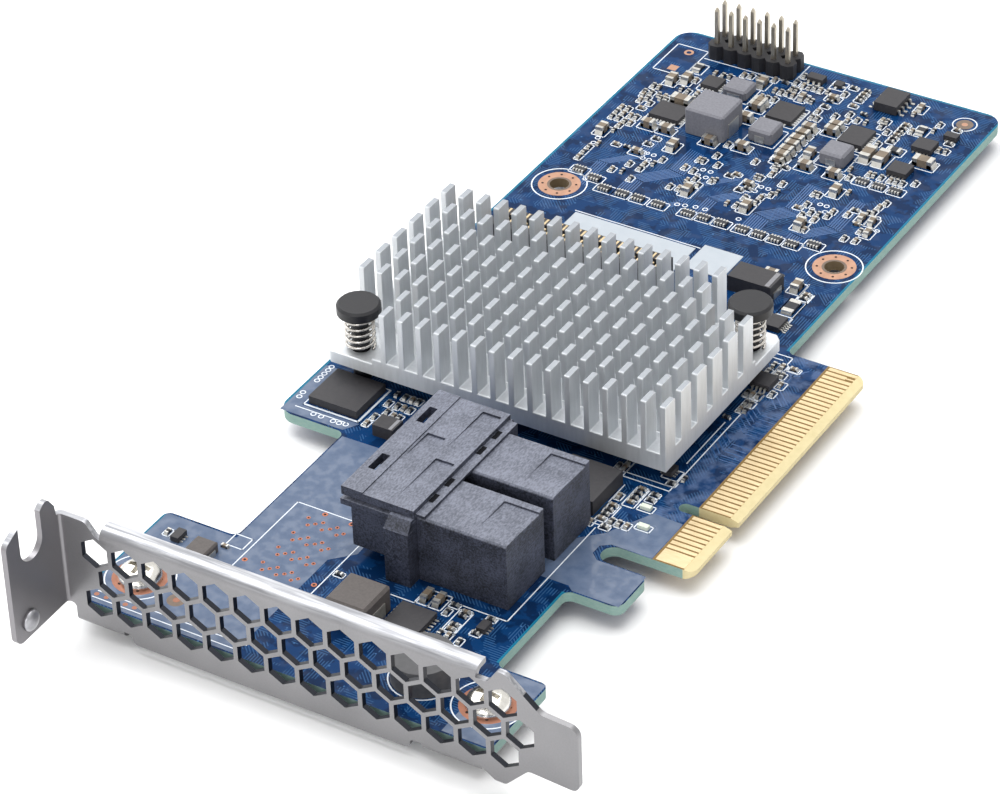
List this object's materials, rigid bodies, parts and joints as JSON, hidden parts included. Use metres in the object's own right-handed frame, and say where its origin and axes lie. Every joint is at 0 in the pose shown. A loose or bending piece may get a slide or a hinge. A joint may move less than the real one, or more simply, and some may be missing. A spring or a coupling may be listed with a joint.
{
  "type": "raid controller card",
  "caption": "Low-profile storage controller card with a pin-fin heatsink, a dual right-angle connector and a hexagon-vented bracket.",
  "frame": {"origin": "on the component face of the board, at the outer end of the gold contacts, in the middle of the key notch", "axes": "+X out of the gold contact edge into its socket, +Y along the card away from the bracket, +Z out of the component side"},
  "size_m": [0.0802, 0.1809, 0.0231],
  "materials": {
    "board_laminate": "glossy blue solder mask over glass laminate",
    "gold_plating": "bright gold plating",
    "bracket_steel": "satin nickel-plated steel sheet",
    "screw_nickel": "bright nickel plating",
    "heatsink_aluminium": "satin clear anodised",
    "chip_moulding": "matt black moulding compound",
    "thermal_pad": "soft matt pad",
    "pin_plastic": "matt black nylon",
    "spring_wire": "bright spring wire",
    "connector_plastic": "mottled charcoal glass-filled plastic",
    "header_plastic": "matt black",
    "header_plating": "pale gold and tin plating",
    "buzzer_case": "matt black case",
    "inductor_ferrite": "matt grey pressed ferrite",
    "solder_tin": "tinned metal",
    "capacitor_ceramic": "matt brown ceramic with tinned ends",
    "resistor_black": "black glaze with tinned ends",
    "label_paper": "matt white label stock"
  },
  "bodies": {
    "root": {"circuit_board": "board_laminate", "edge_contacts_top": "gold_plating", "edge_contacts_underside": "gold_plating", "bracket": "bracket_steel", "bracket_screws": "screw_nickel", "heatsink": "heatsink_aluminium", "controller_chip": "chip_moulding", "thermal_pad": "thermal_pad", "push_pins": "pin_plastic", "push_pin_springs": "spring_wire", "storage_port_shell": "connector_plastic", "storage_port_rear_near": "connector_plastic", "storage_port_rear_far": "connector_plastic", "storage_port_contacts": "gold_plating", "pin_header_body": "header_plastic", "pin_header_pins": "header_plating", "stacking_connector": "header_plastic", "buzzer": "buzzer_case", "inductor_large": "inductor_ferrite", "inductors_medium": "inductor_ferrite", "inductor_flat": "inductor_ferrite", "inductor_square": "inductor_ferrite", "inductor_small": "inductor_ferrite", "inductor_terminals": "solder_tin", "leaded_chip_bodies": "chip_moulding", "leaded_chip_leads": "solder_tin", "leadless_chips": "chip_moulding", "flash_memory_chip": "chip_moulding", "bridge_chip": "chip_moulding", "tantalum_capacitors": "chip_moulding", "tantalum_tabs": "solder_tin", "ceramic_capacitors_0805": "capacitor_ceramic", "ceramic_capacitors_1206": "capacitor_ceramic", "ceramic_capacitors_0603": "capacitor_ceramic", "chip_resistors": "resistor_black", "resistor_arrays": "resistor_black", "indicator_lamps": "capacitor_ceramic", "board_labels": "label_paper"}
  },
  "joints": []
}
